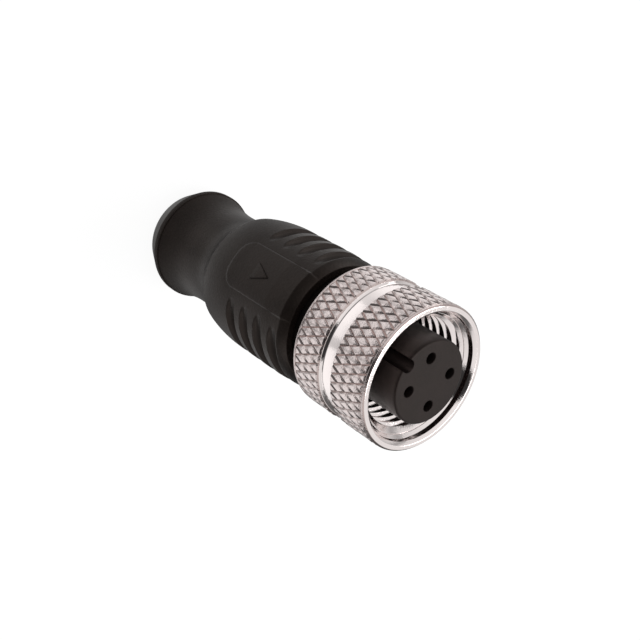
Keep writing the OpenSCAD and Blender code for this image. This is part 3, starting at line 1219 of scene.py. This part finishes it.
@dataclass(frozen=True)
class SoftBox:
    """A soft area lamp."""

    name: str
    place: tuple[float, float, float]
    aim: tuple[float, float, float]
    size: tuple[float, float]
    watts: float

    def build(self) -> None:
        """Make the lamp."""
        light = bpy.data.lights.new(self.name, "AREA")
        light.shape = "RECTANGLE"
        light.size, light.size_y = self.size
        light.energy = self.watts
        lamp = bpy.data.objects.new(self.name, light)
        lamp.location = self.place
        lamp.rotation_euler = (Vector(self.aim) - Vector(self.place)).to_track_quat("-Z", "Y").to_euler()
        bpy.context.scene.collection.objects.link(lamp)


@dataclass
class Studio:
    """Pale floor, even surroundings, soft lamps and the camera. Metres."""

    camera_at: tuple[float, float, float] = (0.00468, -0.0719, 0.09353)
    camera_right: tuple[float, float, float] = (-0.5583, 0.5557, 0.616)
    camera_up: tuple[float, float, float] = (-0.8285, -0.4123, -0.3789)
    lens_mm: float = 56.25
    sensor_mm: float = 36.0
    floor_size: float = 3.0
    floor_grey: float = 0.82
    floor_glow: float = 1.08
    floor_share: float = 0.86
    fill: float = 0.6
    card: float = 0.04
    gain: float = 1.08
    card_at: tuple[float, float, float] = (0.4, -0.68, 0.62)
    card_edge: Point = (0.888, 0.932)
    wall_fade: Point = (-0.3, 0.0)
    skirt_band: tuple[float, float, float, float] = (-0.45, -0.1, 0.1, 0.4)
    walls: tuple[Point, ...] = (
        (-180, 0.95), (-165, 0.8), (-154, 0.72), (-141, 0.72), (-138, 1.0), (-100, 1.0), (-96, 0.95), (-74, 0.92),
        (-68, 0.62), (-55, 0.58), (-51, 0.95), (-34, 1.0), (14, 1.0), (38, 0.86), (52, 0.45), (62, 0.3),
        (80, 0.4), (110, 0.6), (129, 0.8), (153, 1.0), (180, 0.95),
    )
    tiers: tuple[Point, ...] = (
        (-1.0, 0.86), (-0.93, 0.76), (-0.87, 0.36), (-0.8, 0.36), (-0.75, 0.66), (-0.7, 0.98), (-0.6, 1.0),
        (-0.53, 0.6), (-0.45, 0.25), (-0.35, 0.12), (0.28, 0.12), (0.4, 0.7), (0.7, 0.8), (1.0, 0.85),
    )
    skirts: tuple[Point, ...] = (
        (-180, 0.5), (-150, 0.5), (-130, 0.0), (60, 0.0), (80, 0.3), (110, 0.3), (135, 0.5), (180, 0.5),
    )

    def _camera(self) -> None:
        """Make the camera."""
        data = bpy.data.cameras.new("camera")
        data.lens, data.sensor_width = self.lens_mm, self.sensor_mm
        data.clip_start, data.clip_end = 0.001, 10.0
        camera = bpy.data.objects.new("camera", data)
        right = Vector(self.camera_right).normalized()
        back = right.cross(Vector(self.camera_up)).normalized()
        turn = Matrix((right, back.cross(right), back)).transposed()
        camera.matrix_world = Matrix.Translation(self.camera_at) @ turn.to_4x4()
        bpy.context.scene.collection.objects.link(camera)
        bpy.context.scene.camera = camera

    def _world(self) -> None:
        """Make even surroundings: white to the camera, and to shiny surfaces a tent of paler and dimmer panels.

        Walls and skirts go by the angle round the tent, tiers by the height, and the card is a dark spot.
        """
        world = bpy.data.worlds.new("studio")
        bpy.context.scene.world = world
        sh = Shader(world, "ShaderNodeOutputWorld")
        way = sh.node("ShaderNodeTexCoord", {}, {}, "Generated")
        parts = sh.node("ShaderNodeSeparateXYZ", {}, {0: way})
        across, along, up = (Wire(sh, parts.socket.node.outputs[axis]) for axis in "XYZ")
        turn = sh.node("ShaderNodeMath", {"operation": "ARCTAN2"}, {0: along, 1: across}) * (1 / math.tau) + 0.5
        wall = self._grey_ramp(sh, turn, [((angle + 180) / 360, grey) for angle, grey in self.walls])
        skirt = self._grey_ramp(sh, turn, [((angle + 180) / 360, grey) for angle, grey in self.skirts])
        tier = self._grey_ramp(sh, up * 0.5 + 0.5, [(height * 0.5 + 0.5, grey) for height, grey in self.tiers])
        aim = Vector(self.card_at).normalized()
        toward = sh.node("ShaderNodeVectorMath", {"operation": "DOT_PRODUCT"}, {0: way, 1: aim}, "Value")
        card = sh.ramp(toward, *self.card_edge, 1.0, self.card)
        camera = sh.node("ShaderNodeLightPath", {}, {}, "Is Camera Ray")
        glossy = sh.node("ShaderNodeLightPath", {}, {}, "Is Glossy Ray")
        below = sh.ramp(up, *self.wall_fade, 1.0, 0.0)
        wall = 1 - below * (1 - wall)
        start, full, fade, end = self.skirt_band
        band = sh.ramp(up, start, full) * sh.ramp(up, fade, end, 1.0, 0.0)
        tent = (wall * tier + skirt * band) * card * self.gain
        grey = camera + glossy * tent + (1 - camera - glossy) * self.fill
        colour = sh.node("ShaderNodeCombineColor", {}, {0: grey, 1: grey, 2: grey})
        sh.close(sh.node("ShaderNodeBackground", {}, {"Color": colour, "Strength": 1.0}))

    @staticmethod
    def _grey_ramp(sh: Shader, place: Wire, stops: Sequence[Point]) -> Wire:
        """Turn a place into a grey level.

        Args:
            sh: The tree.
            place: The place, 0 to 1.
            stops: Pairs of (place, level), in rising order.

        Returns:
            The level.
        """
        colours = [(share, (grey, grey, grey, 1)) for share, grey in stops]
        ramp = sh.node("ShaderNodeValToRGB", {"stops": colours}, {"Fac": place})
        return sh.node("ShaderNodeSeparateColor", {}, {0: ramp})

    def _floor(self) -> None:
        """Make the pale floor, which looks white to the camera but for the plug's shadow."""
        bm = bmesh.new()
        bmesh.ops.create_grid(bm, x_segments=1, y_segments=1, size=self.floor_size / MM / 2)
        floor = as_object(bm, "floor")
        floor.visible_glossy = False
        sh = Shader(bpy.data.materials.new("pale_floor"))
        matte = sh.node("ShaderNodeBsdfDiffuse", {}, {"Color": (self.floor_grey,) * 3 + (1,)})
        glow = sh.node("ShaderNodeEmission", {}, {"Color": (1, 1, 1, 1), "Strength": self.floor_glow})
        camera = sh.node("ShaderNodeLightPath", {}, {}, "Is Camera Ray")
        sh.close(sh.node("ShaderNodeMixShader", {}, {0: camera * self.floor_share, 1: matte, 2: glow}))
        floor.data.materials.append(sh.owner)

    def build(self) -> None:
        """Make the whole studio."""
        self._camera()
        self._world()
        self._floor()
        middle = (0.0, 0.0, 0.02)
        for box in (
            SoftBox("left_softbox", (0.27, -0.03, 0.05), middle, (0.14, 0.12), 0.06),
            SoftBox("right_softbox", (-0.27, 0.0, 0.06), middle, (0.14, 0.14), 0.06),
            SoftBox("top_softbox", (-0.06, 0.12, 0.30), middle, (0.2, 0.2), 0.45),
        ):
            box.build()
        bpy.context.scene.view_settings.view_transform = "Standard"


def finishes() -> dict[Slot, bpy.types.Material]:
    """Build every finish.

    Returns:
        The material of each slot.
    """
    grip = GripBody(node_box("grip_body")[1].z)
    flare = CoarseZone((2.0, 2.9, 3.4, grip.waist_at), 0.26)
    dome = CoarseZone((12.6, 14.8, 17.4, 19.8), 0.07)
    grooves = CoarseZone(
        (grip.crest_at - 1, grip.crest_at, grip.edge_z - 0.1, grip.edge_z + 0.1), 0.3, recess=(6.5, 6.84),
    )
    low, high = node_box("resistor_body")
    brown, red, black = srgb(96, 52, 28), srgb(176, 34, 28), srgb(20, 20, 20)
    made = {
        Slot.GRIP: MouldedPlastic(
            "grip_tpu", srgb(15, 11, 10), srgb(22, 17, 15), 0.38, grain_mm=0.26, grain_depth_mm=0.03,
            shine=0.37, zones=(flare, dome, grooves),
        ),
        Slot.CORE: MouldedPlastic("core_plastic", srgb(9, 8, 8), srgb(13, 11, 11), 0.45),
        Slot.CARRIER: MouldedPlastic(
            "carrier_plastic", srgb(18, 14, 14), srgb(24, 18, 18), 0.5, grain_mm=0.16, grain_depth_mm=0.008,
            shine=0.22,
        ),
        # root is the painted shade tone at the bottom of the knurl.
        Slot.NUT: PlatedNickel(
            "nut_nickel", bright=srgb(246, 237, 235), knurl=srgb(222, 210, 208), root=srgb(204, 188, 184),
            root_radius_mm=CouplingNut.root_r, knurl_height_mm=CouplingNut.knurl_h, bore_radius_mm=6.2,
        ),
        Slot.CONTACT: PlatedWire("contact_gold", srgb(232, 190, 110), srgb(214, 170, 92), 0.18),
        Slot.LEAD: PlatedWire("lead_tin", srgb(205, 205, 210), srgb(180, 180, 186), 0.26),
        Slot.SEAL: MouldedPlastic(
            "seal_rubber", srgb(20, 20, 21), srgb(28, 28, 29), 0.6, grain_mm=0.06, grain_depth_mm=0.003,
        ),
        Slot.RESISTOR: BandedLacquer(
            "resistor_lacquer", srgb(92, 140, 178), (brown, red, black, black, brown), low.z, high.z - low.z,
        ),
    }
    return {slot: finish.build() for slot, finish in made.items()}


def main() -> None:
    """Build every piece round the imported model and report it."""
    logging.basicConfig(level=logging.INFO, format="%(name)s: %(message)s")
    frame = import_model()
    Studio().build()
    finish = finishes()

    nut_low, nut_high = node_box("coupling_nut")
    carrier_low, carrier_high = node_box("contact_carrier")
    seal_z = node_box("seal_ring")[0].z
    pieces = [
        GripBody(length=node_box("grip_body")[1].z).build(finish[Slot.GRIP]),
        CouplingNut(base=nut_low.z, length=nut_high.z - nut_low.z).build(finish[Slot.NUT]),
        ContactCarrier(carrier_low.z, carrier_high.z, seal_z).build(finish[Slot.CARRIER]),
    ]
    contacts = {f"socket_contact_{index}": (finish[Slot.CONTACT], Slot.CONTACT) for index in range(1, 5)}
    kept = KeptNodes({
        "inner_core": (finish[Slot.CORE], Slot.CORE),
        **contacts,
        "seal_ring": (finish[Slot.SEAL], Slot.SEAL),
        "resistor_body": (finish[Slot.RESISTOR], Slot.RESISTOR),
        "resistor_lead_front": (finish[Slot.LEAD], Slot.LEAD),
        "resistor_lead_rear": (finish[Slot.LEAD], Slot.LEAD),
    })
    pieces += kept.dress(frame["nodes"])
    for piece in pieces:
        report(piece)


if __name__ == "__main__":
    main()
